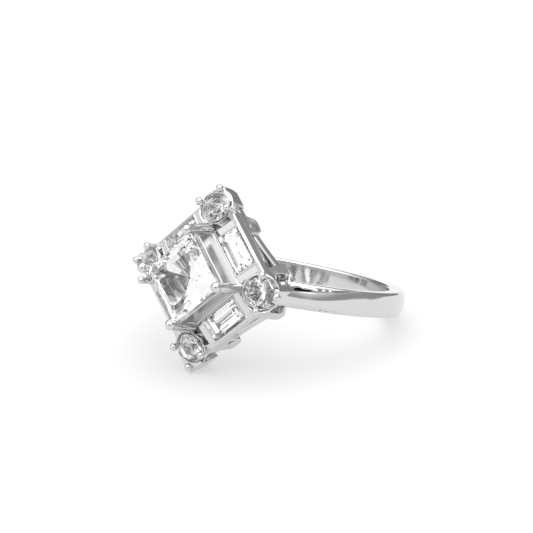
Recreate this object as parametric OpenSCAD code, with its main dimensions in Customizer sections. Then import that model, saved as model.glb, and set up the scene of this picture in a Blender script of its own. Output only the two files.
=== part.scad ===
// Ring with a raised square step-cut stone, four baguettes and four corner stones.
// The ring lies on its side on a flat surface.
// Every shape is built in the ring's own axes and the whole ring is laid down at the end.
// Ring axes: z points out of the head, y runs along the finger hole, x runs from shoulder to shoulder.

/* [Finger band] */
// Radius of the finger hole
finger_r = 8.6; // [7.5:0.05:10.5]
// Width of the band at its back and sides
band_w = 2.0; // [1.5:0.05:3]
// Radius of the band's edge, round its own centre
band_edge_r = 9.655; // [9.2:0.005:10.5]
// How far the band's own centre sits towards the back
band_shift = 0.345; // [0:0.005:0.8]
// Radius of the crowned outer face across the band
crown_r = 2.4; // [1.5:0.1:6]
// Width of the inner edge's slope
edge_ease = 0.2; // [0.05:0.05:0.4]

/* [Shoulders] */
// Half width of a shoulder wall where it meets the head
wall_half_top = 0.52; // [0.35:0.01:0.8]
// Half width of a shoulder wall where it meets the band
wall_half_low = 0.96; // [0.6:0.01:1.2]
// Half width of the finger rail below the shoulders
rail_half = 1.0; // [0.9:0.01:1.4]
// Outer radius of that finger rail
rail_r = 9.45; // [9.1:0.05:9.8]

/* [Gallery] */
// Half diagonal of the gallery wall
wall_diag = 7.0; // [6.5:0.02:8]
// Height of the gallery wall's top above the finger axis
wall_top = 10.75; // [10:0.05:12]
// Half diagonal of the base rail
base_diag = 6.5; // [6:0.05:7]
// Outer radius of the base rail round the finger
base_r = 9.3; // [9:0.05:9.8]
// Distance of a leg from its side's middle, beside the top and bottom corners
leg_near = 0.87; // [0.6:0.01:1.4]
// Distance of a leg from its side's middle, beside the two shoulders
leg_far = 2.05; // [1.6:0.01:2.3]
// Width of a leg beside the top and bottom corners
leg_near_w = 1.33; // [0.8:0.01:1.5]
// Width of a leg beside the two shoulders
leg_far_w = 0.8; // [0.5:0.01:1.1]
// How far the corners stand from the head's axis
post_reach = 7.08; // [6.8:0.02:7.4]
// Half width of a corner post beside a shoulder
post_half = 0.6; // [0.4:0.02:0.8]
// Radius of the upright edge of the top and bottom corners
corner_r = 0.4; // [0.2:0.05:0.8]
// Radius of the rounding below the top and bottom corners
heel_r = 0.93; // [0.5:0.01:1.2]
// Height of the arches' tops
arch_top = 9.95; // [9.5:0.05:10.4]

/* [Corner stones] */
// Distance of a corner stone from the head's axis
cup_dist = 5.6; // [5:0.05:6.5]
// Height of the middle of a corner stone's girdle
cup_height = 11.0; // [10.4:0.05:11.6]
// How far each corner cup leans outwards
cup_lean = 21.6; // [0:0.2:35]
// Radius of a corner stone
round_r = 1.25; // [1:0.05:1.5]
// Outer radius of a cup at its rim
cup_r = 1.5; // [1.3:0.02:1.8]
// Height of a cup's wall
cup_h = 1.65; // [1.2:0.05:2]
// Radius of a cup's claws
cup_claw_r = 0.2; // [0.18:0.01:0.32]
// Radius of the bead on each cup claw
cup_bead_r = 0.31; // [0.24:0.01:0.4]

/* [Side stones] */
// Length of a baguette
bag_len = 3.24; // [3:0.02:4.2]
// Width of a baguette
bag_w = 1.76; // [1.1:0.02:1.9]
// How far each side channel leans outwards
channel_lean = 12.2; // [0:0.2:35]
// Distance of a channel's middle from the head's axis
channel_dist = 3.81; // [3.6:0.01:4.4]
// Height of a channel's rim at its middle
channel_height = 11.04; // [10.8:0.02:12]
// Width of a channel over its two rails
channel_w = 2.42; // [1.8:0.02:2.6]
// Length of a channel over its end bars
channel_len = 4.76; // [4.2:0.02:5.4]
// Height of a channel
channel_h = 1; // [0.8:0.05:1.4]
// Depth of the ledge that carries a baguette
pocket_depth = 0.48; // [0.4:0.02:0.6]

/* [Centre stone] */
// Half width of the square stone
centre_half = 2.5; // [2:0.02:2.8]
// Height of the square stone's girdle
centre_height = 13.46; // [12.6:0.05:14]
// Height of the claw tips' centres
claw_height = 13.98; // [13:0.02:14.6]
// Distance of the claw tips from the head's axis
claw_dist = 3.66; // [3.2:0.02:4]

/* [Hidden] */
$fn = 64;
// Middle of the heel's rounding below a corner
heel_y = post_reach - heel_r;
heel_z = 9.28;
// Furthest radius of the band's edge at the back of the ring
back_r = band_edge_r + band_shift;
// Lean of the ring as it rests on the heel of its bottom corner and on the back edge of its band
span = heel_z + back_r;
offset_y = heel_y - band_w / 2;
ring_lean = atan2(offset_y, span) + asin(heel_r / sqrt(span * span + offset_y * offset_y));
// Height of the finger hole's centre once the ring is laid down
lift = cos(ring_lean) * band_w / 2 + sin(ring_lean) * back_r;
crest_r = band_edge_r + crown_r - sqrt(crown_r * crown_r - band_w * band_w / 4);
claw_bead = 0.42;
// Height of a small bead's centre above its stone's girdle
bead_z = 0.38;
// Slope of a small claw, which follows its cup's wall
claw_slope = 10;
// Reach of the head and of the band's back, which puts the middle of the ring over the origin
front_reach = claw_dist * sin(ring_lean) + claw_height * cos(ring_lean) + claw_bead;
rear_reach = cos(ring_lean) * (crest_r - crown_r + band_shift) + crown_r;
back = (front_reach - rear_reach) / 2;
reach = 40;
// Outer edge of a shoulder: angle from the head's axis, and distance from the finger axis
shoulder_edge = [[80.4, 9.634], [72, 9.86], [65, 10.13], [59.5, 10.4], [55, 10.66], [51, 10.9], [47, 11.1],
    [43.5, 11.24], [41.2, 11.38], [39, 11.62], [36.5, 11.94]];
// Gap kept between each stone and the metal
gap = 0.05;
// Corner cut of the square stone's girdle
girdle_cut = 0.32;
metal = [0.84, 0.85, 0.87];
crystal = [0.93, 0.96, 0.98, 0.5];

// Lays the finished ring down.
module lay_down() {
    translate([0, back, lift])
        rotate([90 - ring_lean, 0, 0])
            children();
}

// Turns a shape drawn round z so that it stands round the finger axis.
module about_finger() {
    rotate([90, 0, 0])
        children();
}

// Moves to the side of the head numbered k, with x pointing out and y along the side.
module on_side(k) {
    rotate([0, 0, 45 + 90 * k])
        children();
}

// Moves to the middle of the girdle of corner stone k, with z along the stone's axis.
module on_corner(k) {
    rotate([0, 0, 90 * k])
        translate([cup_dist, 0, cup_height])
            rotate([0, cup_lean, 0])
                children();
}

// Moves to the middle of a channel's rim on side k, with z square to the stone's table.
module on_channel(k) {
    on_side(k)
        translate([channel_dist, 0, channel_height])
            rotate([0, channel_lean, 0])
                children();
}

// A square block standing on one corner in plan, from height z0 to z1.
module lozenge(diag, z0, z1) {
    translate([0, 0, z0])
        linear_extrude(z1 - z0)
            polygon([[diag, 0], [0, diag], [-diag, 0], [0, -diag]]);
}

// Metal

// The finger band, crowned outside and eased at both inner edges.
module finger_band() {
    difference() {
        about_finger()
            translate([0, -band_shift, 0])
                rotate_extrude()
                    intersection() {
                        translate([finger_r - 0.8, -band_w / 2])
                            square([3, band_w]);
                        translate([crest_r - crown_r, 0])
                            circle(r = crown_r);
                    }
        for (m = [0, 1])
            mirror([0, m, 0])
                translate([0, -band_w / 2 - 0.1, 0])
                    rotate([-90, 0, 0])
                        cylinder(h = edge_ease + 0.1, r1 = finger_r + edge_ease + 0.1, r2 = finger_r);
    }
}

// Outline of the right shoulder in the plane of the band, drawn as x across and y up the head.
module shoulder_outline() {
    difference() {
        polygon(concat([[5.0, 5.0], [7.5, 2.6]], [for (q = shoulder_edge) q[1] * [sin(q[0]), cos(q[0])]],
            [[6.3, 10.6], [5.2, 8.2]]));
        circle(r = finger_r + 0.2);
    }
}

// One shoulder: a narrow pierced wall over a wider finger rail.
module shoulder() {
    difference() {
        intersection() {
            about_finger()
                linear_extrude(4, center = true)
                    shoulder_outline();
            rotate([90, 0, 90])
                linear_extrude(reach)
                    polygon([[wall_half_low, 2.4], [0.82, 7.0], [0.62, 9.6], [0.62, 12],
                        [-0.62, 12], [-0.62, 9.6], [-0.82, 7.0], [-wall_half_low, 2.4],
                        [-wall_half_low, 0], [wall_half_low, 0]]);
            about_finger()
                rotate_extrude()
                    polygon([[8, -1.1], [9.3, -0.96], [10.05, -0.86], [10.85, -0.6], [11.4, -wall_half_top],
                        [13.5, -wall_half_top + 0.02], [13.5, wall_half_top - 0.02], [11.4, wall_half_top],
                        [10.85, 0.6], [10.05, 0.86], [9.3, 0.96], [8, 1.1]]);
        }
        shoulder_piercing();
    }
    // finger rail
    intersection() {
        about_finger()
            difference() {
                cylinder(h = 4, r = rail_r, center = true);
                cylinder(h = 5, r = finger_r - 0.3, center = true);
            }
        rotate([90, 0, 90])
            linear_extrude(reach)
                polygon([[band_w / 2, 1.5], [rail_half, 4.8], [rail_half, 8], [-rail_half, 8],
                    [-rail_half, 4.8], [-band_w / 2, 1.5]]);
    }
}

// The openings through a shoulder wall: one long slot and three small holes below it.
module shoulder_piercing() {
    about_finger() {
        for (a = [40.2, 42.6, 45])
            rotate([0, 0, 90 - a])
                translate([10.35 - (a - 40.2) * 0.035, 0, 0])
                    cylinder(h = 4, r = 0.42 - (a - 40.2) * 0.03, center = true);
        linear_extrude(4, center = true)
            polygon([[cos(49.8) * 10.77, sin(49.8) * 10.77], [cos(45) * 10.46, sin(45) * 10.46],
                [cos(45) * 9.92, sin(45) * 9.92], [cos(49.8) * 9.93, sin(49.8) * 9.93]]);
        for (q = [[48.8, 10.28, 0.24], [51.4, 10.2, 0.2], [54.2, 10.12, 0.22]])
            rotate([0, 0, 90 - q[0]])
                translate([q[1], 0, 0])
                    cylinder(h = 4, r = q[2], center = true);
    }
}

// Distance from the middle of side k to the leg at its end m, and that leg's width.
function leg_at(k, m) = (k + m) % 2 == 0 ? leg_near : leg_far;
function leg_width(k, m) = (k + m) % 2 == 0 ? leg_near_w : leg_far_w;

// What is taken off the heel of the top and bottom corners.
module heel_cut() {
    difference() {
        translate([heel_y, -1.5, heel_z - 1.5])
            cube([2, 3, 1.5]);
        translate([heel_y, 0, heel_z])
            rotate([90, 0, 0])
                cylinder(h = 4, r = heel_r, center = true);
    }
}

// The gallery wall before its arches are cut: a lozenge-shaped ring with proud legs and corners.
module wall_blank() {
    difference() {
        intersection() {
            lozenge(wall_diag, 4, wall_top);
            translate([-6.98, -6.98, 0])
                cube([13.96, 13.96, 14]);
        }
        lozenge(wall_diag - 0.8, 3, 12);
    }
    for (k = [0:3]) {
        on_side(k)
            for (m = [0, 1])
                mirror([0, m, 0])
                    translate([4.93, leg_at(k, m) + 0.02, 10.6])
                        rotate([0, 4, 0])
                            translate([-0.5, 0, -3.9])
                                cube([0.53, leg_width(k, m) - 0.04, 3.9]);
        rotate([0, 0, 90 * k])
            translate([0, 0, 8.2])
                linear_extrude(2.5)
                    if (k % 2 == 0)
                        polygon([[5.9, -post_half], [post_reach - 0.28, -post_half],
                            [post_reach, -post_half + 0.22], [post_reach, post_half - 0.22],
                            [post_reach - 0.28, post_half], [5.9, post_half]]);
                    else
                        corner_plan();
    }
}

// Plan of the top and bottom corners: two flat faces along the walls, joined by a rounded upright edge.
module corner_plan() {
    middle = post_reach - corner_r;
    back_x = 5.8;
    half = middle + corner_r * sqrt(2) - back_x - 0.2;
    polygon(concat([[back_x, -half + 0.3], [back_x + 0.2, -half]],
        [for (a = [-45:15:45]) [middle + corner_r * cos(a), corner_r * sin(a)]],
        [[back_x + 0.2, half], [back_x, half - 0.3]]));
}

// The arches of the gallery wall on side k.
module side_openings(k) {
    first = leg_at(k, 0);
    last = leg_at(k, 1);
    // wide arch under the channel
    translate([0, -last, 4])
        cube([8, last + first, arch_top - 4.5]);
    translate([0, -last + 0.5, arch_top - 0.6])
        cube([8, last + first - 1, 0.6]);
    for (m = [0, 1])
        mirror([0, m, 0]) {
            translate([0, leg_at(k, m) - 0.5, arch_top - 0.5])
                rotate([0, 90, 0])
                    cylinder(h = 8, r = 0.5);
            across_wall()
                if ((k + m) % 2 == 0)
                    near_end();
                else
                    far_end();
        }
}

// Cut beside a top or bottom corner: a pointed arch between foot and corner, and the round below both.
module near_end() {
    low = 8.36;
    outer = leg_near + leg_near_w;
    polygon([[outer, 4], [outer, 8.75], [2.72, 9.8], [2.98, 10.22], [3.14, 10.36], [3.32, 10.36],
        [3.45, 10.22], [3.5, 9.98], [3.5, 9.05], [3.6, 8.8], [3.85, 8.62], [3.85, 4]]);
    // foot
    polygon([[leg_near - 0.1, 4], [leg_near - 0.1, 9], [leg_near, 9], [leg_near + 0.06, 8.74],
        [leg_near + 0.24, low + 0.14], [leg_near + 0.5, low], [outer - 0.5, low], [outer - 0.24, low + 0.14],
        [outer - 0.06, 8.74], [outer, 9], [outer + 0.1, 9], [outer + 0.1, 4]]);
}

// Cut beside a shoulder: a window, the slope of the wide arch's end, and below the foot and its bar.
module far_end() {
    outer = leg_far + leg_far_w;
    window_r = 0.45;
    window_top = 9.72;
    translate([outer + window_r, window_top - window_r])
        circle(r = window_r);
    polygon([[outer, window_top - window_r], [outer, 8.1], [outer + 0.1, 7.95], [outer + 0.26, 7.94],
        [3.63, 8.26], [3.75, 8.42], [3.75, window_top - window_r]]);
    polygon([[leg_far - 0.6, 8.85], [leg_far, 8.85], [leg_far + 0.15, 9.4], [leg_far + 0.13, 9.68],
        [leg_far, 9.86], [leg_far - 0.2, arch_top], [leg_far - 0.6, arch_top]]);
    // foot and bar
    polygon([[leg_far - 0.1, 4], [leg_far - 0.1, 7.9], [leg_far, 7.9], [leg_far + 0.06, 7.62],
        [leg_far + 0.22, 7.38], [leg_far + 0.5, 7.28], [leg_far + 0.82, 7.34], [3.93, 8.16], [4.65, 8.7],
        [4.65, 4]]);
}

// Carries an outline, drawn along a side and upwards, through the wall.
module across_wall() {
    rotate([90, 0, 90])
        linear_extrude(8)
            children();
}

// The lozenge-shaped gallery: outer wall with arches, and a base rail bent round the finger.
module gallery() {
    difference() {
        wall_blank();
        for (k = [0:3])
            on_side(k)
                side_openings(k);
        for (k = [1, 3])
            rotate([0, 0, 90 * k])
                heel_cut();
    }
    intersection() {
        difference() {
            lozenge(base_diag, 4, 12);
            lozenge(base_diag - 1.2, 3, 13);
        }
        about_finger()
            cylinder(h = 20, r = base_r, center = true);
    }
}

// The wall of a corner cup, drawn round the stone's axis.
module cup_wall() {
    translate([0, 0, -cup_h])
        cylinder(h = cup_h, r1 = cup_r - 0.42, r2 = cup_r);
}

// The three claws of a corner cup. The long claw of the square stone closes the fourth side.
module cup_claws() {
    for (a = [-90, 0, 90])
        rotate([0, 0, a]) {
            translate([round_r + gap + cup_claw_r, 0, 0])
                rotate([0, claw_slope, 0])
                    translate([0, 0, -1.25])
                        cylinder(h = 1.25 + bead_z, r = cup_claw_r);
            translate([round_r + 0.11, 0, bead_z])
                sphere(r = cup_bead_r, $fn = 32);
        }
}

// The room a corner stone needs: a hole below, a sloping seat and a short straight wall round the girdle.
module stone_room() {
    rotate_extrude()
        polygon([[0, -1.9], [0.7, -1.9], [0.7, -0.64], [round_r + 0.12, 0.01], [round_r + gap, 0.03],
            [round_r + gap, 0.1], [0, 0.1]]);
    translate([0, 0, 0.01])
        cylinder(h = 0.5, r = round_r + 0.02);
}

// A channel's block, leaning with its stone.
module channel() {
    translate([-channel_w / 2, -channel_len / 2, -channel_h])
        cube([channel_w, channel_len, channel_h]);
}

// The room a baguette needs: a pocket with a ledge all round, open below.
module baguette_room() {
    pocket_w = bag_w + gap * 2;
    pocket_len = bag_len + gap * 2;
    ledge = 0.2;
    end_ledge = 0.3;
    translate([-pocket_w / 2, -pocket_len / 2, -pocket_depth])
        cube([pocket_w, pocket_len, 1]);
    translate([-bag_w / 2 + ledge, -bag_len / 2 + end_ledge, -channel_h - 0.3])
        cube([bag_w - ledge * 2, bag_len - end_ledge * 2, channel_h]);
}

// The raised basket: four long claws round a square collar with a flange below.
module basket() {
    for (k = [0:3])
        rotate([0, 0, 90 * k]) {
            translate([claw_dist + 0.34, 0, 10.9])
                rotate([0, -6.3, 0])
                    cylinder(h = claw_height - 10.9 + 0.02, r = 0.37);
            translate([claw_dist, 0, claw_height])
                sphere(r = claw_bead, $fn = 40);
        }
    square_ring(2.5, 2.16, 11.0, 12.75);
    square_ring(2.78, 2.16, 10.95, 11.3);
}

// A square ring with flat sides parallel to the head's sides.
module square_ring(outer, inner, z0, z1) {
    rotate([0, 0, 45])
        difference() {
            translate([-outer, -outer, z0])
                cube([outer * 2, outer * 2, z1 - z0]);
            translate([-inner, -inner, z0 - 1])
                cube([inner * 2, inner * 2, z1 - z0 + 2]);
        }
}

// All the metal before the seats are cut.
module metal_blank() {
    finger_band();
    for (k = [0, 1])
        rotate([0, 0, 180 * k])
            shoulder();
    gallery();
    for (k = [0:3]) {
        on_channel(k)
            channel();
        on_corner(k)
            cup_wall();
    }
    basket();
}

module setting() {
    color(metal)
        lay_down() {
            difference() {
                metal_blank();
                // finger hole
                about_finger()
                    cylinder(h = 30, r = finger_r, center = true, $fn = 128);
                // room for the corner stones, the baguettes and the girdle of the square stone
                for (k = [0:3]) {
                    on_corner(k)
                        stone_room();
                    on_channel(k)
                        baguette_room();
                }
                translate([0, 0, centre_height - 0.1])
                    rotate([0, 0, 45])
                        linear_extrude(0.2)
                            polygon(cut_square(centre_half + gap, girdle_cut + 0.02));
            }
            for (k = [0:3])
                on_corner(k)
                    cup_claws();
        }
}

// Stones

// A closed body through rings of points at rising heights; each entry is [height, list of [x, y] points].
module stacked(layers) {
    n = len(layers[0][1]);
    m = len(layers);
    polyhedron(
        points = [for (l = layers) for (p = l[1]) [p[0], p[1], l[0]]],
        faces = concat(
            [for (i = [0:m - 2]) for (j = [0:n - 1])
                [(i + 1) * n + j, (i + 1) * n + (j + 1) % n, i * n + (j + 1) % n, i * n + j]],
            [[for (j = [0:n - 1]) j]],
            [[for (j = [n - 1:-1:0]) (m - 1) * n + j]]));
}

// Square of half width a with its corners cut by c.
function cut_square(a, c) = [[a, -a + c], [a, a - c], [a - c, a], [-a + c, a],
    [-a, a - c], [-a, -a + c], [-a + c, -a], [a - c, -a]];

// Rectangle of half length a (along y) and half width b.
function slab(a, b) = [[b, -a], [b, a], [-b, a], [-b, -a]];

// Square step cut: each entry is [height, half width, corner cut] as shares of the half width.
module step_cut_square() {
    a = centre_half;
    steps = [[-0.84, 0.04, 0.008], [-0.7, 0.3, 0.05], [-0.46, 0.62, 0.09], [-0.2, 0.88, 0.12],
        [-0.016, 1, girdle_cut / a], [0.016, 1, girdle_cut / a], [0.12, 0.888, 0.12], [0.2, 0.768, 0.11],
        [0.248, 0.648, 0.1]];
    stacked([for (q = steps) [q[0] * a, cut_square(q[1] * a, q[2] * a)]]);
}

// Rectangular step cut, long and narrow.
module step_cut_baguette() {
    a = bag_len / 2;
    b = bag_w / 2;
    stacked([[-0.95, slab(a - 0.95, 0.04)], [-0.72, slab(a - 0.62, b - 0.5)], [-0.4, slab(a - 0.28, b - 0.2)],
        [-0.03, slab(a, b)], [0.03, slab(a, b)], [0.16, slab(a - 0.16, b - 0.16)], [0.26, slab(a - 0.34, b - 0.34)]]);
}

// Brilliant cut of girdle radius r: table, star, kite and girdle facets above, kite facets below.
module brilliant(r) {
    tr = 0.56 * r;
    th = 0.30 * r;
    gh = 0.03 * r;
    sr = 0.79 * r;
    slope = (th - gh) / (r - tr);
    sh = th - slope * (sr * cos(22.5) - tr);
    depth = 0.84 * r;
    low = (depth - gh) / r;
    lr = 0.62 * r;
    lh = -depth + low * lr * cos(22.5);
    table = [for (i = [0:7]) [tr * cos(45 * i), tr * sin(45 * i), th]];
    star = [for (i = [0:7]) [sr * cos(45 * i + 22.5), sr * sin(45 * i + 22.5), sh]];
    rim_up = [for (i = [0:15]) [r * cos(22.5 * i), r * sin(22.5 * i), gh]];
    rim_low = [for (i = [0:15]) [r * cos(22.5 * i), r * sin(22.5 * i), -gh]];
    keel = [for (i = [0:7]) [lr * cos(45 * i + 22.5), lr * sin(45 * i + 22.5), lh]];
    tip = [[0, 0, -depth]];
    s0 = 8;
    u0 = 16;
    d0 = 32;
    k0 = 48;
    t0 = 56;
    faces = concat(
        [[for (i = [7:-1:0]) i]],
        [for (i = [0:7]) [i, (i + 1) % 8, s0 + i]],
        [for (i = [0:7]) [i, s0 + i, u0 + 2 * i]],
        [for (i = [0:7]) [i, u0 + 2 * i, s0 + (i + 7) % 8]],
        [for (i = [0:7]) [s0 + i, u0 + 2 * i + 1, u0 + 2 * i]],
        [for (i = [0:7]) [s0 + i, u0 + (2 * i + 2) % 16, u0 + 2 * i + 1]],
        [for (i = [0:15]) [u0 + i, u0 + (i + 1) % 16, d0 + (i + 1) % 16]],
        [for (i = [0:15]) [u0 + i, d0 + (i + 1) % 16, d0 + i]],
        [for (i = [0:7]) [d0 + 2 * i, d0 + 2 * i + 1, k0 + i]],
        [for (i = [0:7]) [d0 + 2 * i + 1, d0 + (2 * i + 2) % 16, k0 + i]],
        [for (i = [0:7]) [d0 + 2 * i, k0 + i, t0]],
        [for (i = [0:7]) [d0 + 2 * i, t0, k0 + (i + 7) % 8]]);
    polyhedron(points = concat(table, star, rim_up, rim_low, keel, tip), faces = faces);
}

module centre_stone() {
    color(crystal)
        lay_down()
            translate([0, 0, centre_height])
                rotate([0, 0, 45])
                    step_cut_square();
}

module round_stone(k) {
    color(crystal)
        lay_down()
            on_corner(k)
                rotate([0, 0, 11.25])
                    brilliant(round_r);
}

module baguette(k) {
    color(crystal)
        lay_down()
            on_channel(k)
                step_cut_baguette();
}

setting();
centre_stone();
round_stone(1);  // round_stone_top
round_stone(0);  // round_stone_right
round_stone(3);  // round_stone_bottom
round_stone(2);  // round_stone_left
baguette(0);  // baguette_top_right
baguette(3);  // baguette_bottom_right
baguette(2);  // baguette_bottom_left
baguette(1);  // baguette_top_left
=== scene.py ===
# %% [markdown]
# This lesson dresses a ring: a raised square stone in four long claws, a baguette on each of its
# sides, a round stone at each of its corners, and a plain band with pierced shoulders. The solids
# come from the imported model. They carry the sizes, but their walls meet in knife edges, and
# polished metal shows its shape only through soft edges that catch the light. So every metal
# piece is made again here as a fine mesh with rounded edges, and the stones keep their own
# facets.

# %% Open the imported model
import math

import bmesh
import bpy
from mathutils import Matrix, Vector


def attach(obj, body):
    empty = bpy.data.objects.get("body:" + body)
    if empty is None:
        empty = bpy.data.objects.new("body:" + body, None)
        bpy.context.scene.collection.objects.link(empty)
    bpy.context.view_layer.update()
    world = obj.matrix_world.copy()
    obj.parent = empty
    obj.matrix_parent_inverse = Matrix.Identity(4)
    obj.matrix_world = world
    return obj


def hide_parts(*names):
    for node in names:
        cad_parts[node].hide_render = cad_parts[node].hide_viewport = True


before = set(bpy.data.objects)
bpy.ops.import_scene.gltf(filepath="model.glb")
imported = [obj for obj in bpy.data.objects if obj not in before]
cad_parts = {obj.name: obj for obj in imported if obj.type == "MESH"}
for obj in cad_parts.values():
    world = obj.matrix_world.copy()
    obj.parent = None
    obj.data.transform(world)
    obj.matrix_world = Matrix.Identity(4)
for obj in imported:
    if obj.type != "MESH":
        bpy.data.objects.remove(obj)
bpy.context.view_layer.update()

# %% [markdown]
# A ring is easiest to describe in its own axes: z out of the head, y along the finger hole and x
# from shoulder to shoulder, in millimetres. The real ring lies on its side, leaning on the heel
# of its bottom post and the back edge of its band. One matrix lays every piece down like that,
# and it goes into each mesh, so that all objects keep their origin where the model has it.

# %% The ring's own axes and how they are laid down
finger_r = 8.6
band_w = 2.0
band_edge_r = 9.655
band_shift = 0.345
crown_r = 2.4
post_reach = 7.08
heel_r = 0.93
heel_z = 9.28
claw_dist = 3.66
claw_height = 13.98
long_bead = 0.42

heel_y = post_reach - heel_r
span = heel_z + band_edge_r + band_shift
sideways = heel_y - band_w / 2
lean = math.atan2(sideways, span) + math.asin(heel_r / math.hypot(span, sideways))
lift = math.cos(lean) * band_w / 2 + math.sin(lean) * (band_edge_r + band_shift)
crest_r = band_edge_r + crown_r - math.sqrt(crown_r ** 2 - band_w ** 2 / 4)
front_reach = claw_dist * math.sin(lean) + claw_height * math.cos(lean) + long_bead
rear_reach = math.cos(lean) * (crest_r - crown_r + band_shift) + crown_r
back = (front_reach - rear_reach) / 2
LAID = (Matrix.Scale(0.001, 4) @ Matrix.Translation((0, back, lift))
        @ Matrix.Rotation(math.radians(90) - lean, 4, "X"))
print("lean", round(math.degrees(lean), 2), "degrees, hole's centre", round(lift, 2), "mm up")

# %% [markdown]
# Both materials and Geometry Nodes trees are graphs of small sums. Written as nodes one by one
# they are long and hard to read, so one class wraps a socket and lets Python's own signs add the
# Math nodes, and one method adds any other node.

# %% A socket that can be used in sums
class Wire:
    """One socket of a node tree. A sum of wires adds its own Math nodes."""

    def __init__(self, tree, socket):
        self.tree = tree
        self.socket = socket

    def maths(self, operation, *values):
        """A Math node with these values or wires."""
        return add_node(self.tree, "ShaderNodeMath", {"operation": operation},
                        dict(enumerate(values)))

    def __add__(self, other):
        return self.maths("ADD", self, other)

    def __sub__(self, other):
        return self.maths("SUBTRACT", self, other)

    def __mul__(self, other):
        return self.maths("MULTIPLY", self, other)

    def __truediv__(self, other):
        return self.maths("DIVIDE", self, other)

    def __rsub__(self, other):
        return self.maths("SUBTRACT", other, self)

    def __neg__(self):
        return self.maths("MULTIPLY", self, -1)

    __radd__ = __add__
    __rmul__ = __mul__


def socket_of(sockets, key):
    """The socket with this number, identifier or name."""
    if isinstance(key, int):
        return sockets[key]
    for s in sockets:
        if s.identifier == key:
            return s
    return sockets[key]


def add_node(tree, kind, settings=None, values=None, out=0):
    """Adds a node, its settings and then its sockets' values or links; gives one output."""
    node = tree.nodes.new(kind)
    for name, value in (settings or {}).items():
        setattr(node, name, value)
    for key, value in (values or {}).items():
        socket = socket_of(node.inputs, key)
        if isinstance(value, Wire):
            tree.links.new(value.socket, socket)
        else:
            socket.default_value = value
    return Wire(tree, socket_of(node.outputs, out))


def other_output(wire, key):
    """Another output of the node that a wire comes from."""
    return Wire(wire.tree, socket_of(wire.socket.node.outputs, key))


# %% [markdown]
# The metal is polished white metal. It has almost no colour of its own: what shows is the room in
# it. A perfect mirror looks like a computer's, so the polish changes a little over the surface,
# with the faintest ripple that a buffing wheel leaves and slightly warmer, duller patches. A
# buffing wheel can't reach down between the square stone and the channels, so the collar there
# has a duller, satin face. It is the same recipe with a rougher number.

# %% The polished white metal
def new_material(name):
    """A material and its tree, which is empty."""
    material = bpy.data.materials.new(name)
    material.use_nodes = True
    material.node_tree.nodes.clear()
    return material, material.node_tree


def finish_tree(tree, shader):
    """Joins a shader to the material's output."""
    output = tree.nodes.new("ShaderNodeOutputMaterial")
    tree.links.new(shader.socket, output.inputs["Surface"])


def polished_metal(name, bright, rough):
    """White metal of this brightness and roughness, both a little uneven."""
    material, tree = new_material(name)
    place = add_node(tree, "ShaderNodeTexCoord", out="Object")
    cloud = add_node(tree, "ShaderNodeTexNoise", None,
                     {"Vector": place, "Scale": 420.0, "Detail": 3.0, "Roughness": 0.55})
    fine = add_node(tree, "ShaderNodeTexNoise", None,
                    {"Vector": place, "Scale": 2600.0, "Detail": 2.0, "Roughness": 0.5})
    colour = add_node(tree, "ShaderNodeMix", {"data_type": "RGBA"}, {
        "Factor_Float": cloud,
        "A_Color": (bright, bright, bright * 1.008, 1),
        "B_Color": (bright * 0.965, bright * 0.963, bright * 0.96, 1)}, out="Result_Color")
    bump = add_node(tree, "ShaderNodeBump", None,
                    {"Strength": 0.05, "Distance": 0.00001, "Height": cloud + fine * 0.3})
    shader = add_node(tree, "ShaderNodeBsdfPrincipled", None, {
        "Base Color": colour, "Metallic": 1.0, "Normal": bump,
        "Roughness": cloud * 0.06 + fine * 0.03 + rough})
    finish_tree(tree, shader)
    return material


metal = polished_metal("polished_white_metal", 0.68, 0.03)
satin = polished_metal("satin_white_metal", 0.66, 0.26)
print("materials:", metal.name, "and", satin.name)

# %% [markdown]
# The stones are colourless and cut. Glass with the index of topaz bends and splits the light as
# the real ones do. A cloud of very slight tint keeps the body from being perfectly even, and a
# trace of roughness stands for the marks of wear on the facets.

# %% The clear stones
def clear_stone(name, tint, shade):
    """A clear stone whose body goes softly from one very pale colour to the other."""
    material, tree = new_material(name)
    place = add_node(tree, "ShaderNodeTexCoord", out="Object")
    cloud = add_node(tree, "ShaderNodeTexNoise", None,
                     {"Vector": place, "Scale": 700.0, "Detail": 2.0, "Roughness": 0.5})
    colour = add_node(tree, "ShaderNodeMix", {"data_type": "RGBA"}, {
        "Factor_Float": cloud, "A_Color": tint, "B_Color": shade}, out="Result_Color")
    shader = add_node(tree, "ShaderNodeBsdfPrincipled", None, {
        "Base Color": colour, "Roughness": cloud * 0.01, "IOR": 1.62, "Transmission Weight": 1.0})
    finish_tree(tree, shader)
    return material


stone = clear_stone("clear_topaz", (1.0, 1.0, 1.0, 1), (0.96, 0.975, 0.985, 1))
for node_name, node_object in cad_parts.items():
    if node_name == "setting":
        continue
    node_object.data.materials.clear()
    node_object.data.materials.append(stone)
    print("stone:", node_name, len(node_object.data.polygons), "facet triangles")


# %% [markdown]
# Each metal piece ends in the same way: its mesh is merged, its faces are turned outwards, flat
# faces and soft edges are shaded apart by the size of the faces, and the piece is laid down with
# the ring and rides on its only body.

# %% Helpers that every metal piece uses
same_point = 0.0005  # points closer than this, in millimetres, are one


def closed(mesh):
    """Merges doubled points and turns the faces outwards; gives the count of open edges."""
    work = bmesh.new()
    work.from_mesh(mesh)
    bmesh.ops.remove_doubles(work, verts=work.verts, dist=same_point)
    bmesh.ops.recalc_face_normals(work, faces=work.faces)
    gaps = sum(1 for e in work.edges if len(e.link_faces) != 2)
    work.to_mesh(mesh)
    work.free()
    return gaps


def evaluated_mesh(thing):
    """What an object looks like after its modifiers, as a plain mesh."""
    graph = bpy.context.evaluated_depsgraph_get()
    graph.update()
    return bpy.data.meshes.new_from_object(thing.evaluated_get(graph), depsgraph=graph)


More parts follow.
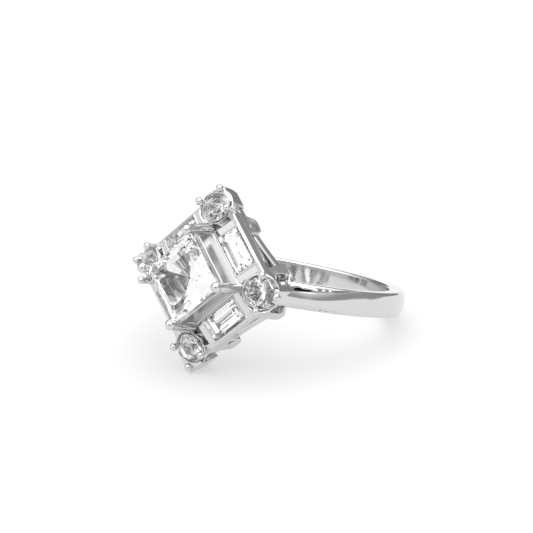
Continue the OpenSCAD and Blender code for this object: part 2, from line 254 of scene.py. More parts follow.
def metal_piece(name, meshes, sharp=38, weighted=True, finish=None):
    """Joins meshes in the ring's own axes into one finished metal object."""
    work = bmesh.new()
    gaps = 0
    for mesh in meshes:
        gaps += closed(mesh)
        work.from_mesh(mesh)
    whole = bpy.data.meshes.new(name)
    work.to_mesh(whole)
    work.free()
    whole.shade_smooth()
    whole.set_sharp_from_angle(angle=math.radians(sharp))
    whole.materials.append(finish or metal)
    thing = bpy.data.objects.new(name, whole)
    bpy.context.scene.collection.objects.link(thing)
    if weighted:
        flat = thing.modifiers.new("faces first", "WEIGHTED_NORMAL")
        flat.keep_sharp = True
        flat.weight = 80
        thing.data = evaluated_mesh(thing)
        thing.modifiers.clear()
    thing.data.name = name
    thing.data.transform(LAID)
    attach(thing, "root")
    triangles = sum(len(p.vertices) - 2 for p in thing.data.polygons)
    print(name, triangles, "triangles,", gaps, "open edges")
    return thing


def turned(mesh, matrix):
    """A turned or moved copy of a mesh."""
    copy = mesh.copy()
    copy.transform(matrix)
    return copy


# %% [markdown]
# The band is one rounded section carried round the finger. A lathe could turn it, but its outside
# is centred a little behind the hole, so it is thinner under the head than at the back. A
# Geometry Nodes tree sweeps the section along a circle and then pushes the outer points out by
# one rule: the crown across the band, plus the thickening towards the back.

# %% A Geometry Nodes tree with named inputs
def new_tree(name, sizes):
    """An empty tree with one named input for each size; gives the tree and its inputs as wires."""
    tree = bpy.data.node_groups.new(name, "GeometryNodeTree")
    tree.interface.new_socket("Geometry", in_out="INPUT", socket_type="NodeSocketGeometry")
    for size_name, kind in sizes.items():
        tree.interface.new_socket(size_name, in_out="INPUT", socket_type=kind)
    tree.interface.new_socket("Geometry", in_out="OUTPUT", socket_type="NodeSocketGeometry")
    source = tree.nodes.new("NodeGroupInput")
    wires = {s.name: Wire(tree, s) for s in source.outputs if s.name}
    return tree, wires


def end_tree(tree, geometry, material):
    """Realises the instances, gives them the metal and joins them to the tree's output."""
    real = add_node(tree, "GeometryNodeRealizeInstances", None, {"Geometry": geometry})
    dressed = add_node(tree, "GeometryNodeSetMaterial", None,
                       {"Geometry": real, "Material": material})
    output = tree.nodes.new("NodeGroupOutput")
    tree.links.new(dressed.socket, output.inputs[0])


def grown(tree, sizes, mesh=None):
    """The plain mesh that a tree makes with these sizes."""
    thing = bpy.data.objects.new("seed", mesh or bpy.data.meshes.new("seed"))
    bpy.context.scene.collection.objects.link(thing)
    modifier = thing.modifiers.new("tree", "NODES")
    modifier.node_group = tree
    for item in tree.interface.items_tree:
        if item.in_out == "INPUT" and item.name in sizes:
            modifier[item.identifier] = sizes[item.name]
    made = evaluated_mesh(thing)
    bpy.data.objects.remove(thing)
    return made


# %% The band's tree
def band_tree():
    """Sweeps the section round the finger and crowns it."""
    tree, given = new_tree("finger band", {
        "Finger Radius": "NodeSocketFloat", "Width": "NodeSocketFloat",
        "Thickness": "NodeSocketFloat", "Crown": "NodeSocketFloat", "Edge": "NodeSocketFloat",
        "Back Shift": "NodeSocketFloat", "Steps": "NodeSocketInt"})
    middle = given["Finger Radius"] + given["Thickness"] / 2
    path = add_node(tree, "GeometryNodeCurvePrimitiveCircle", {"mode": "RADIUS"},
                    {"Resolution": given["Steps"], "Radius": middle}, out="Curve")
    section = add_node(tree, "GeometryNodeCurvePrimitiveQuadrilateral", {"mode": "RECTANGLE"},
                       {"Width": given["Thickness"], "Height": given["Width"]}, out="Curve")
    section = add_node(tree, "GeometryNodeFilletCurve", {"mode": "POLY"},
                       {"Curve": section, "Count": 5, "Radius": given["Edge"]})
    section = add_node(tree, "GeometryNodeResampleCurve", {"mode": "LENGTH"},
                       {"Curve": section, "Length": 0.07})
    swept = add_node(tree, "GeometryNodeCurveToMesh", None,
                     {"Curve": path, "Profile Curve": section})
    place = add_node(tree, "GeometryNodeInputPosition")
    x = add_node(tree, "ShaderNodeSeparateXYZ", None, {"Vector": place}, out="X")
    y = other_output(x, "Y")
    z = other_output(x, "Z")
    squares = x * x + y * y
    radius = squares.maths("POWER", squares, 0.5)
    share = (radius - given["Finger Radius"]) / given["Thickness"]
    across = z / (given["Width"] * 0.5)
    outward = share * (given["Crown"] * (1 - across * across) - given["Back Shift"] * (y / radius))
    push = add_node(tree, "ShaderNodeCombineXYZ", None,
                    {"X": x / radius * outward, "Y": y / radius * outward})
    moved = add_node(tree, "GeometryNodeSetPosition", None, {"Geometry": swept, "Offset": push})
    end_tree(tree, moved, metal)
    return tree


# the tree's circle lies flat and is stood up, so that the finger hole runs along y
STAND = Matrix.Rotation(math.radians(90), 4, "X")
band_sizes = {
    "Finger Radius": finger_r, "Width": band_w, "Thickness": band_edge_r - finger_r,
    "Crown": crest_r - band_edge_r, "Edge": 0.17, "Back Shift": band_shift, "Steps": 220}
band = metal_piece("band", [turned(grown(band_tree(), band_sizes), STAND)],
                   sharp=60, weighted=False)

# %% [markdown]
# Each shoulder is a narrow wall that rises from the band to the head, with one long slot and two
# small holes cut through it. It is a sheet cut to an outline, so a filled curve with a bevel
# makes it in one step, holes and rounded edges included. The bevel opens a hole towards the
# surface, as a drill with a countersink does, so the holes are written smaller than they look.
# The wall's faces are then leaned in, since it is thinner on top and where it meets the head.

# %% Cutting a sheet to outlines
def arc(cx, cy, r, start, end, count):
    """Points along an arc, angles in degrees."""
    angles = [math.radians(start + (end - start) * i / (count - 1)) for i in range(count)]
    return [(cx + r * math.cos(a), cy + r * math.sin(a)) for a in angles]


def plate(loops, half, edge, steps):
    """A flat piece cut to closed outlines in x and y, half thick each way in z, edges rounded."""
    curve = bpy.data.curves.new("outline", "CURVE")
    curve.dimensions = "2D"
    curve.fill_mode = "BOTH"
    curve.extrude = half - edge
    curve.bevel_depth = edge
    curve.bevel_resolution = steps
    curve.offset = -edge
    for loop in loops:
        spline = curve.splines.new("POLY")
        spline.points.add(len(loop) - 1)
        for point, (x, y) in zip(spline.points, loop):
            point.co = (x, y, 0, 1)
        spline.use_cyclic_u = True
    thing = bpy.data.objects.new("outline", curve)
    bpy.context.scene.collection.objects.link(thing)
    mesh = evaluated_mesh(thing)
    bpy.data.objects.remove(thing)
    return mesh


def cut_across(mesh, cuts):
    """Divides the long edges that run across a sheet, so that its rim can be crowned."""
    work = bmesh.new()
    work.from_mesh(mesh)
    bmesh.ops.remove_doubles(work, verts=work.verts, dist=same_point)

    def across(edge):
        return abs((edge.verts[0].co - edge.verts[1].co).z)

    longest = max(e.calc_length() for e in work.edges if across(e) > 0.1)
    chosen = [e for e in work.edges
              if across(e) > 0.99 * e.calc_length() and e.calc_length() > 0.9 * longest]
    bmesh.ops.subdivide_edges(work, edges=chosen, cuts=cuts, use_grid_fill=False)
    work.to_mesh(mesh)
    work.free()
    return mesh


def reshaped(mesh, place):
    """Moves every point of a mesh to where place(x, y, z) says."""
    for vertex in mesh.vertices:
        vertex.co = place(*vertex.co)
    return mesh


# %% [markdown]
# The outer edge of a shoulder runs from the head to the band in a hollow curve that no circle
# fits. So it is written as a short table of measures and one smooth curve is laid through them,
# as a springy strip is bent against pins. A thickness changes evenly, so straight lines between
# its measures are enough.

# %% Reading a table of measures
def between(table, x):
    """The value at x of a table of (x, value) pairs, on straight lines between them."""
    if x <= table[0][0]:
        return table[0][1]
    for (x0, v0), (x1, v1) in zip(table, table[1:]):
        if x <= x1:
            return v0 + (v1 - v0) * (x - x0) / (x1 - x0)
    return table[-1][1]


def along_curve(table, x):
    """The value at x of a table of (x, value) pairs, on one smooth curve through them."""
    if x <= table[0][0] or x >= table[-1][0]:
        return between(table, x)
    i = max(j for j in range(len(table) - 1) if table[j][0] <= x)

    def slope(j):
        a = table[max(j - 1, 0)]
        b = table[min(j + 1, len(table) - 1)]
        return (b[1] - a[1]) / (b[0] - a[0])

    (x0, v0), (x1, v1) = table[i], table[i + 1]
    step = x1 - x0
    t = (x - x0) / step
    return ((2 * t ** 3 - 3 * t ** 2 + 1) * v0 + (t ** 3 - 2 * t ** 2 + t) * step * slope(i)
            + (3 * t ** 2 - 2 * t ** 3) * v1 + (t ** 3 - t ** 2) * step * slope(i + 1))


# %% The shoulder's wall
# the wall's outer edge as angles from the head's axis and distances from the finger's axis
outer_edge = [(33.5, 12.5), (36.5, 11.94), (39, 11.6), (41.2, 11.38), (43.5, 11.23), (47, 11.08),
              (51, 10.88), (55, 10.66), (59.5, 10.4), (65, 10.13), (70, 9.95), (75, 9.847),
              (78, 9.82), (81, 9.823), (84, 9.835), (88, 9.845)]
# the slot as angles, inner and outer distances; the small holes as angles, distances and radii
slot_table = [(38.7, 10.5, 10.62), (39.0, 10.32, 10.85), (39.6, 10.1, 11.06), (40.5, 9.92, 11.1),
              (41.7, 9.8, 11.02), (43.0, 9.76, 10.92), (44.4, 9.78, 10.78), (45.8, 9.86, 10.62),
              (47.0, 9.98, 10.46), (47.8, 10.06, 10.4), (48.6, 10.12, 10.38), (49.1, 10.2, 10.32)]
hole_table = [(51.7, 10.2, 0.13), (54.9, 10.1, 0.13)]
# the wall's inner edge, and the two points where it ends inside the head
wall_inner_r = 8.72
head_end = [(5.5, 8.4), (6.2, 10.4)]


def polar(angle, radius):
    """A point at an angle from the head's axis, as x and height."""
    return (radius * math.sin(math.radians(angle)), radius * math.cos(math.radians(angle)))


def shoulder_loops():
    """The wall's outline, its slot and its holes."""
    rim = [polar(a / 2, along_curve(outer_edge, a / 2)) for a in range(68, 176, 2)]
    inner = [polar(a, wall_inner_r) for a in range(87, 36, -3)]
    outline = rim + inner + head_end
    slot = [polar(angle, high) for angle, _, high in slot_table]
    slot += [polar(angle, low) for angle, low, _ in reversed(slot_table)]
    holes = [arc(*polar(angle, middle), size, 0, 345, 24) for angle, middle, size in hole_table]
    return [outline, slot] + holes


def wall_half(x, z):
    """Half thickness of a shoulder wall at this place."""
    radius = math.hypot(x, z)
    by_radius = between(
        [(8.6, 1.0), (9.3, 0.96), (10.05, 0.86), (10.85, 0.6), (11.4, 0.54), (13, 0.5)], radius)
    by_height = between([(2.4, 0.975), (4.2, 0.96), (7.0, 0.84), (9.6, 0.62), (12, 0.6)], z)
    towards_band = between([(2.4, 1.0), (4.6, 0.0)], z)
    return min(by_radius + (1.0 - by_radius) * towards_band, by_height)


def shoulder_wall():
    """The pierced wall; its outer rim is crowned like the band's."""
    rim_depth = 0.35
    rim_crown = 0.218
    mesh = cut_across(plate(wall_outlines, half=1.0, edge=0.14, steps=3), cuts=9)

    def crowned(x, y, z):
        radius = math.hypot(x, y)
        outside = radius - along_curve(outer_edge, math.degrees(math.atan2(x, y)))
        share = max(0.0, min(1.0, 1 + outside / rim_depth))
        slimmer = 1 - rim_crown * share * z * z / radius
        return (x * slimmer, z * wall_half(x, y), y * slimmer)

    return reshaped(mesh, crowned)


wall_outlines = shoulder_loops()
print("a shoulder's wall:", [len(loop) for loop in wall_outlines], "points in its outlines")

# %% [markdown]
# Below the wall a wider rail runs along the finger. On the bench it would be drawn wire bent round
# a rod, so here one rounded section is set down at small steps of the angle and joined from step
# to step. Towards the band the rail grows thin, because there it runs out into the band's metal.

# %% The shoulder's rail and both shoulders
rail_start, rail_end = 34, 84


def faces_between(i, after, n):
    """The faces between section i and the one after it, each a closed run of n points."""
    turn = [(j, (j + 1) % n) for j in range(n)]
    return [(i * n + j, i * n + k, after * n + k, after * n + j) for j, k in turn]


def finger_rail():
    """The rail below a shoulder wall: a rounded strip that follows the finger hole."""
    section = [(0.1, -1), (0.0, -0.92), (0.0, 0.92), (0.1, 1), (0.62, 1), (0.72, 0.95),
               (0.76, 0.85), (0.76, -0.85), (0.72, -0.95), (0.62, -1)]
    inner_r = finger_r + 0.01
    points = []
    faces = []
    count = 48
    for i in range(count + 1):
        angle = rail_start + (rail_end - rail_start) * i / count
        half = between([(rail_start, 1.02), (70, 1.01), (rail_end, 0.97)], angle)
        swell = between([(rail_start, 1.0), (62, 1.0), (rail_end, 0.35)], angle)
        for depth, side in section:
            x, z = polar(angle, inner_r + depth * (0.4 + 0.6 * swell))
            points.append((x, side * half, z))
    n = len(section)
    for i in range(count):
        faces += faces_between(i, i + 1, n)
    faces.append(tuple(range(n)))
    faces.append(tuple(count * n + j for j in reversed(range(n))))
    mesh = bpy.data.meshes.new("rail")
    mesh.from_pydata(points, [], faces)
    return mesh


def about_z(degrees):
    """The turn about the head's axis."""
    return Matrix.Rotation(math.radians(degrees), 4, "Z")


walls = [shoulder_wall(), finger_rail()]
shoulders = metal_piece("shoulders", [turned(m, about_z(a)) for m in walls for a in (0, 180)])

# %% [markdown]
# The gallery is the fence below the stones. Each side is a wall with a wide arch in its middle
# and a foot at each end of that arch. Beside the shoulders the foot runs on into a bar that
# closes a small window; beside the top and bottom corners a pointed arch parts it from the
# corner. The wall is again a cut sheet, and its feet lean out a little, which only moves the
# sheet's points.

# %% One side of the gallery
wall_top = 10.78
arch_top = 9.95
wall_middle = 4.667
wall_half_thick = 0.283
wall_end = 4.3
leg_near = 0.87
leg_far = 2.05
near_middle = 1.55
far_middle = -2.45
lean_start = 10.4
lean_slope = 0.075

# outlines of one side as s, along the side towards its near end, and height
near_foot = [(leg_near, 9.1), (leg_near, 8.8), (0.96, 8.54), (1.2, 8.37), (1.62, 8.32),
             (2.02, 8.34), (2.24, 8.54), (2.44, 8.9), (2.7, 9.4)]
near_arch = [(2.94, 9.86), (3.14, 10.26), (3.24, 10.38), (3.4, 10.38), (3.5, 10.24), (3.5, 9.9)]
far_foot = [(-leg_far, 8.7), (-leg_far, 7.8), (-2.1, 7.5), (-2.3, 7.28), (-2.62, 7.26),
            (-2.9, 7.38), (-3.3, 7.68), (-3.93, 8.16), (-wall_end, 8.45)]
far_arch = [(-leg_far, 8.85), (-2.16, 9.3), (-2.24, 9.7), (-2.1, 9.95), (-1.7, arch_top)]
window_low = [(-2.85, 9.2), (-2.85, 8.05), (-2.92, 7.9), (-3.12, 7.9), (-3.66, 8.26), (-3.75, 8.4),
              (-3.75, 9.27)]


def softened(points, rounds=2):
    """An open run of points with its corners cut again and again, ends kept."""
    for _ in range(rounds):
        cut = [points[0]]
        for (x0, y0), (x1, y1) in zip(points, points[1:]):
            cut.append((0.75 * x0 + 0.25 * x1, 0.75 * y0 + 0.25 * y1))
            cut.append((0.25 * x0 + 0.75 * x1, 0.25 * y0 + 0.75 * y1))
        points = cut + [points[-1]]
    return points


def side_outline():
    """The wall's outline, top first and then the feet from the far end to the near one."""
    turn_r = 0.5
    loop = [(wall_end, wall_top), (-wall_end, wall_top)]
    loop += softened(far_foot)[::-1] + softened(far_arch)
    loop += arc(leg_near - turn_r, arch_top - turn_r, turn_r, 90, 0, 7)
    loop += softened(near_foot) + softened(near_arch)
    return loop + [(3.7, 9.7), (wall_end, 9.7)]


def side_window():
    """The opening between the far foot and the shoulder, round on top."""
    return softened(window_low)[:-1] + arc(-3.3, 9.27, 0.45, 0, 180, 14)


def lean_out(s, z):
    """How far a foot leans out of the wall's plane at this place."""
    foot_half = 0.65
    fade = 0.4
    inside = min(abs(s - near_middle), abs(s - far_middle)) - foot_half
    return max(0.0, lean_start - z) * lean_slope * max(0.0, min(1.0, 1 - inside / fade))


def gallery_side(near_first):
    """One side; the near end of a side is the end at the top or bottom corner."""
    mesh = plate([side_outline(), side_window()], half=wall_half_thick, edge=0.13, steps=4)
    turn = 1 if near_first else -1
    return reshaped(mesh, lambda s, z, d: (wall_middle + d + lean_out(s, z), s * turn, z))


gallery_walls = metal_piece("gallery_walls", [
    turned(gallery_side(k % 2 == 0), about_z(45 + 90 * k)) for k in range(4)])

# %% [markdown]
# The top and bottom corners carry the lobed feet on which the ring leans. In plan a corner has
# two faces along the walls and a rounded upright edge between them, so it is a sheet cut to that
# plan and as thick as the corner is high. Its rim is cut across and then drawn in or out by a
# table of heights, which rounds the heel. The bottom corner, the one that bears on the table,
# swells a little more than the top one. The corners beside the shoulders are plain upright
# blocks, cut the same way.

# %% The corners
corner_r = 0.4
corner_low = 8.62
corner_top = 10.74
block_low = 8.9
block_back = 5.95


def corner_plan():
    """The corner's outline as distance out and distance to the side."""
    middle = post_reach - corner_r
    tip = arc(middle, 0, corner_r, -45, 45, 13)
    face = middle + corner_r * math.sqrt(2)
    face_end = 4.95
    back_x, back_y = 5.57, 0.62
    side = [((face + face_end + step) / 2, (face - face_end - step) / 2)
            for step in (0.5, 0.4, 0.3, 0.2, 0.12, 0.05, 0.0)]
    return [(back_x, -back_y)] + [(x, -y) for x, y in side[::-1]] + tip + side + [(back_x, back_y)]


# how far out the upright edge stands at each height, for the top corner and for the bottom one
top_reach = [(8.2, 6.52), (8.62, 6.76), (9.0, 6.94), (9.4, 7.06), (9.8, 7.13), (10.3, 7.19),
             (10.8, 7.25)]
heel_reach = [(8.2, 6.6), (8.62, 6.86), (9.0, 7.01), (9.4, 7.13), (9.8, 7.24), (10.3, 7.37),
              (10.8, 7.5)]


def lobed_corner(reach):
    """A top or bottom corner with this table for its edge, the low ends of its faces rounded."""
    tall = corner_top - corner_low
    middle = (corner_top + corner_low) / 2
    face_end = 3.5
    end_r = 0.4
    fade_start, fade_width = 5.6, 1.4
    mesh = cut_across(plate([corner_plan()], half=tall / 2, edge=0.2, steps=5), cuts=14)

    def drawn_in(x, y, z):
        height = middle + z
        outside = max(0.0, min(1.0, (x + abs(y) - fade_start) / fade_width))
        from_end = (x - abs(y)) / math.sqrt(2) - face_end
        lifted = end_r - math.sqrt(max(0.0, end_r ** 2 - max(0.0, end_r - from_end) ** 2))
        upward = lifted * (corner_top - height) / tall
        return (x - (post_reach - along_curve(reach, height)) * outside, y, height + upward)

    return reshaped(mesh, drawn_in)


def side_block():
    """The upright block of a corner beside a shoulder."""
    face = [(block_back, corner_top), (post_reach, corner_top),
            (post_reach, block_low), (block_back, block_low)]
    mesh = plate([face], half=0.6, edge=0.2, steps=4)
    return reshaped(mesh, lambda x, y, z: (x, -z, y))


corner_meshes = [side_block(), lobed_corner(top_reach), side_block(), lobed_corner(heel_reach)]
corners = metal_piece("corner_posts", [
    turned(mesh, about_z(90 * k)) for k, mesh in enumerate(corner_meshes)])

# %% [markdown]
# The near foot of each wall swells into a very flat drop, which draws an oval in the reflections.
# On the bench it is filed up from the wall. Here a ball is pressed flat and drawn out along the
# foot, and more than half of it stays inside the wall.

# %% The drops on the feet
drop_along = 1.42
drop_height = 8.98
drop_out = 5.04
drop_wide, drop_tall, drop_deep = 0.44, 0.58, 0.045


def drop(along):
    """One drop at this place along a side."""
    work = bmesh.new()
    bmesh.ops.create_uvsphere(work, u_segments=40, v_segments=24, radius=1)
    mesh = bpy.data.meshes.new("drop")
    work.to_mesh(mesh)
    work.free()
    return reshaped(mesh, lambda x, y, z: (
        drop_out + z * drop_deep, along + x * drop_wide, drop_height + y * drop_tall))


drop_meshes = [turned(drop(drop_along if k % 2 == 0 else -drop_along), about_z(45 + 90 * k))
               for k in range(4)]
drops = metal_piece("foot_drops", drop_meshes, sharp=80, weighted=False)

# %% [markdown]
# Below the walls a square base rail lies on the finger, so from the front it is a diamond and
# from the side it bends with the hole. It is one closed bar: a rounded section is placed at steps
# along the four sides, and the height of each of its points comes from the finger's circle.

# %% The base rail
def closed_ring(name, points, steps):
    """A mesh of as many sections as there are steps, the last one joined to the first."""
    n = len(points) // steps
    faces = []
    for i in range(steps):
        faces += faces_between(i, (i + 1) % steps, n)
    mesh = bpy.data.meshes.new(name)
    mesh.from_pydata(points, [], faces)
    return mesh


def box_loop(length, width, soft, count=4):
    """A rectangle with rounded corners, its length along y."""
    x, y = width / 2 - soft, length / 2 - soft
    loop = []
    for cx, cy, start in ((x, y, 0), (-x, y, 90), (-x, -y, 180), (x, -y, 270)):
        loop += arc(cx, cy, soft, start, start + 90, count)
    return loop


def base_rail():
    """A rounded section, distance out by distance from the finger, carried round the square."""
    inner, outer = 3.75, 4.6
    low, high = 8.6, 9.3
    section = [(x + (outer + inner) / 2, y + (high + low) / 2)
               for x, y in box_loop(high - low, outer - inner, 0.16, 5)]
    steps = 28
    points = []
    for k in range(4):
        for i in range(steps):
            u = -1 + 2 * i / steps
            for p, radius in section:
                v = Vector((p, u * p, 0))
                v.rotate(Matrix.Rotation(math.radians(45 + 90 * k), 3, "Z"))
                points.append((v.x, v.y, math.sqrt(radius ** 2 - v.x ** 2)))
    return closed_ring("base", points, 4 * steps)


base = metal_piece("base_rail", [base_rail()], sharp=50)

# %% [markdown]
# A corner stone sits in a small cup that leans outwards. A cup is turned work, so its half
# section is spun round the stone's axis: a sloping outside, a bright rounded rim and the seat
# inside.

# %% The corner cups
cup_dist = 5.6
cup_height = 11.0
cup_lean = 21.6


def spun(profile, steps=64):
    """A closed half section of (radius, height) points spun round z."""
    turns = [2 * math.pi * i / steps for i in range(steps)]
    points = [(r * math.cos(a), r * math.sin(a), z) for a in turns for r, z in profile]
    return closed_ring("spun", points, steps)


def on_corner(k):
    """The place of a corner stone: its girdle's middle, leaning outwards."""
    return (about_z(90 * k) @ Matrix.Translation((cup_dist, 0, cup_height))
            @ Matrix.Rotation(math.radians(cup_lean), 4, "Y"))


# the cup's half section, radius and height from the stone's girdle
cup_profile = [(0.72, -1.6), (1.0, -1.64), (1.08, -1.58), (1.27, -0.85), (1.44, -0.22),
               (1.5, -0.07), (1.495, -0.02), (1.46, 0.005), (1.42, 0.0), (1.385, -0.03),
               (1.36, -0.06), (0.76, -0.66), (0.72, -0.74)]
cups = metal_piece("corner_cups", [turned(spun(cup_profile), on_corner(k)) for k in range(4)])

# %% [markdown]
# Claws repeat: three round each cup and four long ones round the square stone. Each is a wire
# whose end was melted into a bead. One Geometry Nodes tree makes a claw and puts a copy on every
# mark of a small mesh, turned to the mark's own directions. The cups and the square stone share
# the tree and only give it other sizes.

# %% The claws' tree
def claw_tree():
    """Makes one claw, a bent wire with a ball on its end, and puts it on every mark."""
    tree, given = new_tree("claws on their marks", {
        "Wire": "NodeSocketFloat", "Foot": "NodeSocketFloat", "Bead": "NodeSocketFloat",
        "Height": "NodeSocketFloat", "Bend": "NodeSocketFloat", "Foot Wire": "NodeSocketFloat"})
    foot, bend, high = given["Foot"], given["Bend"], given["Height"]
    start = add_node(tree, "ShaderNodeCombineXYZ", None, {"Z": -foot})
    lower = add_node(tree, "ShaderNodeCombineXYZ", None, {"Z": high * 0.2 - foot * 0.4})
    upper = add_node(tree, "ShaderNodeCombineXYZ", None, {"X": bend * -0.4, "Z": high * 0.55})
    top = add_node(tree, "ShaderNodeCombineXYZ", None, {"X": -bend, "Z": high})
    path = add_node(tree, "GeometryNodeCurvePrimitiveBezierSegment", {"mode": "POSITION"}, {
        "Resolution": 18, "Start": start, "Start Handle": lower, "End Handle": upper, "End": top})
    along = add_node(tree, "GeometryNodeSplineParameter", out="Factor")
    size = given["Foot Wire"] + (given["Wire"] - given["Foot Wire"]) * along
    path = add_node(tree, "GeometryNodeSetCurveRadius", None, {"Curve": path, "Radius": size})
    round_wire = add_node(tree, "GeometryNodeCurvePrimitiveCircle", {"mode": "RADIUS"},
                          {"Resolution": 28, "Radius": 1.0}, out="Curve")
    wire = add_node(tree, "GeometryNodeCurveToMesh", None,
                    {"Curve": path, "Profile Curve": round_wire, "Scale": size, "Fill Caps": True})
    ball = add_node(tree, "GeometryNodeMeshUVSphere", None,
                    {"Segments": 36, "Rings": 20, "Radius": given["Bead"]}, out="Mesh")
    ball = add_node(tree, "GeometryNodeTransform", None, {"Geometry": ball, "Translation": top})
    join = tree.nodes.new("GeometryNodeJoinGeometry")
    tree.links.new(wire.socket, join.inputs[0])
    tree.links.new(ball.socket, join.inputs[0])
    vector = {"data_type": "FLOAT_VECTOR"}
    up = add_node(tree, "GeometryNodeInputNamedAttribute", vector, {"Name": "along"})
    out = add_node(tree, "GeometryNodeInputNamedAttribute", vector, {"Name": "outward"})
    turn = add_node(tree, "FunctionNodeAlignRotationToVector", {"axis": "Z"}, {"Vector": up})
    turn = add_node(tree, "FunctionNodeAlignRotationToVector", {"axis": "X", "pivot_axis": "Z"},
                    {"Rotation": turn, "Vector": out})
    claw = Wire(tree, join.outputs[0])
    placed = add_node(tree, "GeometryNodeInstanceOnPoints", None,
                      {"Points": given["Geometry"], "Instance": claw, "Rotation": turn})
    smooth = add_node(tree, "GeometryNodeRealizeInstances", None, {"Geometry": placed})
    smooth = add_node(tree, "GeometryNodeSetShadeSmooth", None, {"Geometry": smooth})
    end_tree(tree, smooth, metal)
    return tree


claws = claw_tree()
print("the claws' tree has", len(claws.nodes), "nodes")

# %% The cup claws and the long claws
round_r = 1.25
cup_claw_out = 0.25
cup_claw_slope = 10
long_claw_out = 0.34
long_claw_foot = 10.9
long_claw_slope = 6.3
cup_claw_sizes = {
    "Wire": 0.2, "Foot Wire": 0.22, "Foot": 1.25, "Bead": 0.31, "Height": 0.39, "Bend": 0.2}
long_claw_sizes = {
    "Wire": 0.355, "Foot Wire": 0.4, "Foot": 0.5, "Bead": long_bead, "Height": 3.1, "Bend": 0.0}


def marks(places):
    """A mesh of loose points, each with the direction it stands along and its outward side."""
    mesh = bpy.data.meshes.new("marks")
    mesh.from_pydata([p for p, _, _ in places], [], [])
    for name, pick in (("along", 1), ("outward", 2)):
        layer = mesh.attributes.new(name, "FLOAT_VECTOR", "POINT")
        for i, entry in enumerate(places):
            layer.data[i].vector = entry[pick]
    return mesh


def cup_marks():
    """Three marks round each cup, leaning outwards."""
    places = []
    slope = math.radians(cup_claw_slope)
    for k in range(4):
        for angle in (-90, 0, 90):
            m = on_corner(k) @ about_z(angle)
            turn = m.to_3x3()
            up = turn @ Vector((math.sin(slope), 0, math.cos(slope)))
            out = turn @ Vector((math.cos(slope), 0, -math.sin(slope)))
            places.append((m @ Vector((round_r + cup_claw_out, 0, 0)), up, out))
    return marks(places)


def long_marks():
    """One mark at each corner of the square stone, leaning inwards."""
    places = []
    slope = math.radians(long_claw_slope)
    for k in range(4):
        m = about_z(90 * k).to_3x3()
        up = m @ Vector((-math.sin(slope), 0, math.cos(slope)))
        out = m @ Vector((math.cos(slope), 0, math.sin(slope)))
        places.append((m @ Vector((claw_dist + long_claw_out, 0, long_claw_foot)), up, out))
    return marks(places)


cup_claws = metal_piece("cup_claws", [grown(claws, cup_claw_sizes, cup_marks())],
                        sharp=60, weighted=False)
long_claws = metal_piece("long_claws", [grown(claws, long_claw_sizes, long_marks())],
                         sharp=60, weighted=False)

# %% [markdown]
# The square stone stands on a collar, a square tube with a flange at its foot. Each baguette lies
# in a channel: a leaning frame with a bar across each end, a thin bright lip round the stone and
# a ledge below it. All of these are frames of one thickness, so the cut sheet makes them again.

# %% The collar
tube_half, tube_hole = 2.5, 2.16
flange_half, flange_hole = 2.78, 2.2


def square(half, soft):
    """A square outline with rounded corners."""
    return box_loop(2 * half, 2 * half, soft, 6)


def frame_of(outer, inner, low, high, edge):
    """A frame between two outlines, from one height to another."""
    mesh = plate([outer, inner], half=(high - low) / 2, edge=edge, steps=3)
    mesh.transform(Matrix.Translation((0, 0, (high + low) / 2)))
    return mesh


outer_soft, inner_soft = 0.12, 0.08
tube = frame_of(square(tube_half, outer_soft), square(tube_hole, inner_soft),
                low=11.0, high=12.75, edge=0.07)
flange = frame_of(square(flange_half, outer_soft), square(flange_hole, inner_soft),
                  low=10.95, high=11.32, edge=0.07)
collar = metal_piece("collar", [turned(m, about_z(45)) for m in (tube, flange)], finish=satin)

# %% The channels
baguette_length = 3.24
baguette_width = 1.76
channel_dist = 3.81
channel_height = 11.04
channel_lean = 12.2


def on_channel(k):
    """The place of a baguette, leaning outwards."""
    return (about_z(45 + 90 * k) @ Matrix.Translation((channel_dist, 0, channel_height))
            @ Matrix.Rotation(math.radians(channel_lean), 4, "Y"))


pocket = box_loop(baguette_length + 0.1, baguette_width + 0.1, 0.03)
lip = box_loop(baguette_length + 0.34, baguette_width + 0.32, 0.08)
opening = box_loop(baguette_length - 0.6, baguette_width - 0.4, 0.05)
channel_parts = [
    frame_of(box_loop(4.76, 2.42, 0.16), pocket, low=-0.55, high=-0.1, edge=0.09),
    frame_of(lip, pocket, low=-0.5, high=0.0, edge=0.05),
    frame_of(box_loop(4.7, 2.36, 0.1), opening, low=-1.0, high=-0.48, edge=0.04)]
channels = metal_piece("channels", [
    turned(m, on_channel(k)) for k in range(4) for m in channel_parts])

# %% [markdown]
# All the metal of the real ring is soldered into one piece, and so is the CAD node. These pieces
# together stand for it.

# %% What stands for the metal
metal_pieces = [band, shoulders, gallery_walls, corners, drops, base, cups, cup_claws, long_claws,
                collar, channels]
for piece in metal_pieces:
    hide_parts("setting")
print(len(metal_pieces), "metal pieces")

# %% [markdown]
# The ring lies on a plain white table. For such photographs the table is often lit through from
# below, so it glows a little by itself and the shadows stay pale. Polished metal is only as good
# as what it reflects, so the room matters more than the lamps. It is white overhead and low down,
# with a grey band at eye height, which gives the walls their grey faces between white edges. The
# place round the camera is dark, as it is in a real studio, and that gives the metal its few deep
# tones.

